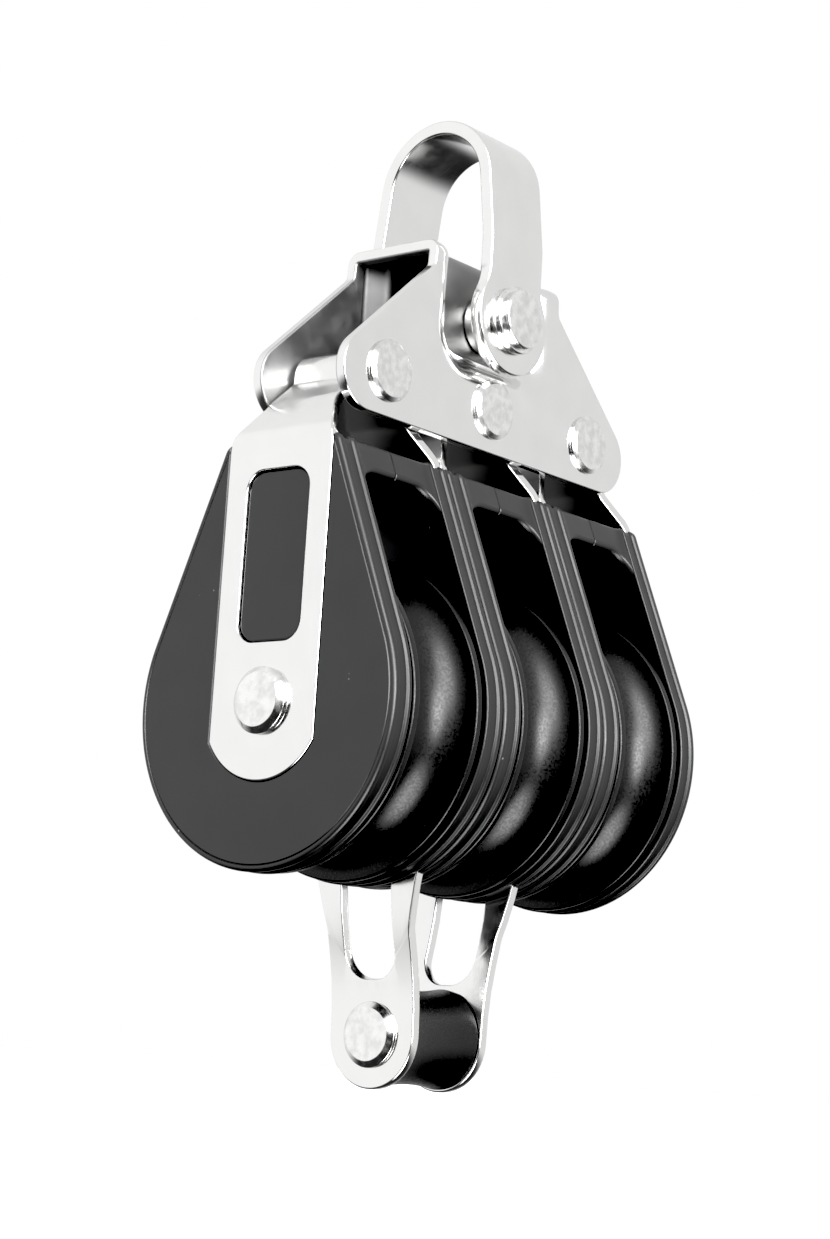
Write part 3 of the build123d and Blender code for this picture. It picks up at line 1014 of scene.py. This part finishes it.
axle = headed_pin_profile(PITCH + STRAP_OUT, AXLE_R, head_r=3.8, head_t=1.2, bevel=0.75, drop=0.6)
turned("axle_turned", [axle], 80, y_axis(0, 0), "worn_steel", "block", "axle")
becket_pin = headed_pin_profile(LEG_OUT, BECKET_PIN_R, head_r=3.8, head_t=0.9, bevel=0.75, drop=0.5)
turned("becket_pin_turned", [becket_pin], 80, y_axis(0, BECKET_H), "worn_steel",
       "block", "becket_pin")
turned("becket_roller_turned", [roller_profile()], 96, y_axis(0, BECKET_H), "sheave_plastic",
       "becket_roller", "becket_bush", True)


# Camera, floor and light

CAM_AZIMUTH = 39.6
CAM_ELEVATION = -9.5
CAM_ROLL = 3.6
CAM_DISTANCE = 311.55
CAM_LENS = 75.64
SENSOR = 36
AIM_RIGHT = -1.484
AIM_UP = 13.92


def make_camera():
    """A camera aimed near the axle; its angles and distance give the photograph's view."""
    azimuth, elevation, roll = radians(CAM_AZIMUTH), radians(CAM_ELEVATION), radians(CAM_ROLL)
    back = Vector((sin(azimuth) * cos(elevation), -cos(azimuth) * cos(elevation), sin(elevation)))
    level = Vector((cos(azimuth), sin(azimuth), 0))
    rise = back.cross(level)
    right = cos(roll) * level + sin(roll) * rise
    up = cos(roll) * rise - sin(roll) * level
    data = bpy.data.cameras.new("camera")
    data.lens = CAM_LENS
    data.sensor_width = SENSOR
    data.clip_start = 0.01
    data.clip_end = 20
    camera = bpy.data.objects.new("camera", data)
    bpy.context.scene.collection.objects.link(camera)
    place = AXLE + (AIM_RIGHT * right + AIM_UP * up + CAM_DISTANCE * back) * MM
    camera.matrix_world = Matrix((
        (right.x, up.x, back.x, place.x),
        (right.y, up.y, back.y, place.y),
        (right.z, up.z, back.z, place.z),
        (0, 0, 0, 1),
    ))
    bpy.context.scene.camera = camera


FLOOR_HALF = 6.0         # metres
FLOOR_BELOW = 0.05


def make_floor():
    """A floor some way under the block, kept out of its reflections and its light."""
    mesh = bpy.data.meshes.new("floor")
    s = FLOOR_HALF
    z = cad_box[0].z - FLOOR_BELOW
    mesh.from_pydata([(-s, -s, z), (s, -s, z), (s, s, z), (-s, s, z)], [], [(0, 1, 2, 3)])
    floor = bpy.data.objects.new("floor", mesh)
    bpy.context.scene.collection.objects.link(floor)
    mesh.materials.append(look_floor())
    floor.visible_glossy = False
    floor.visible_diffuse = False


# The studio round the block, seen in its reflections. It's dark below and pale above; GROUND_LOW and
# GROUND_HIGH are the heights of a direction between which it changes. Each patch has a direction, the
# angles in degrees at which it's full and gone, and its level: shades multiply, soft boxes add.
SKY_LEVEL = 0.88
BELOW_LEVEL = 0.05
GROUND_LOW = -0.60
GROUND_HIGH = -0.18
SHADES = [((0.62, -0.76, -0.15), 14, 40, 0.03), ((-0.63, -0.76, 0.16), 25, 80, 1.28)]
SOFT_BOXES = [
    ((0.62, -0.62, 0.48), 10, 26, 9.0),
    ((0.93, -0.33, 0.13), 8, 20, 16.0),
    ((0.50, -0.15, -0.82), 10, 30, 9.0),
]
BLACK_LEVEL = 0.029      # the photograph's blacks are crushed


def make_world():
    """The studio as a world: white to the camera, and pale, dark and bright patches to the block."""
    world = bpy.data.worlds.new("studio")
    bpy.context.scene.world = world
    world.use_nodes = True
    tree = world.node_tree
    background = tree.nodes["Background"]
    direction = tree.nodes.new("ShaderNodeTexCoord").outputs["Generated"]

    def patch(toward, full, gone, value, beyond):
        """A value round one direction, and another beyond it."""
        dot = tree.nodes.new("ShaderNodeVectorMath")
        dot.operation = "DOT_PRODUCT"
        dot.inputs[1].default_value = Vector(toward).normalized()
        tree.links.new(direction, dot.inputs[0])
        near, far = cos(radians(full)), cos(radians(gone))
        return spread(tree, dot.outputs["Value"], far, near, beyond, value)

    split = tree.nodes.new("ShaderNodeSeparateXYZ")
    tree.links.new(direction, split.inputs["Vector"])
    light = spread(tree, split.outputs["Z"], GROUND_LOW, GROUND_HIGH, BELOW_LEVEL, SKY_LEVEL)
    for toward, full, gone, value in SHADES:
        light = combine(tree, "MULTIPLY", light, patch(toward, full, gone, value, 1.0))
    for toward, full, gone, value in SOFT_BOXES:
        light = combine(tree, "ADD", light, patch(toward, full, gone, value, 0.0))
    seen = tree.nodes.new("ShaderNodeLightPath").outputs["Is Camera Ray"]
    unseen = combine(tree, "SUBTRACT", 1.0, seen)
    light = combine(tree, "ADD", combine(tree, "MULTIPLY", light, unseen), seen)
    tree.links.new(light, background.inputs["Color"])
    view = bpy.context.scene.view_settings
    view.view_transform = "Standard"
    view.use_curve_mapping = True
    view.curve_mapping.black_level = (BLACK_LEVEL, BLACK_LEVEL, BLACK_LEVEL)
    view.curve_mapping.update()


make_camera()
make_floor()
make_world()
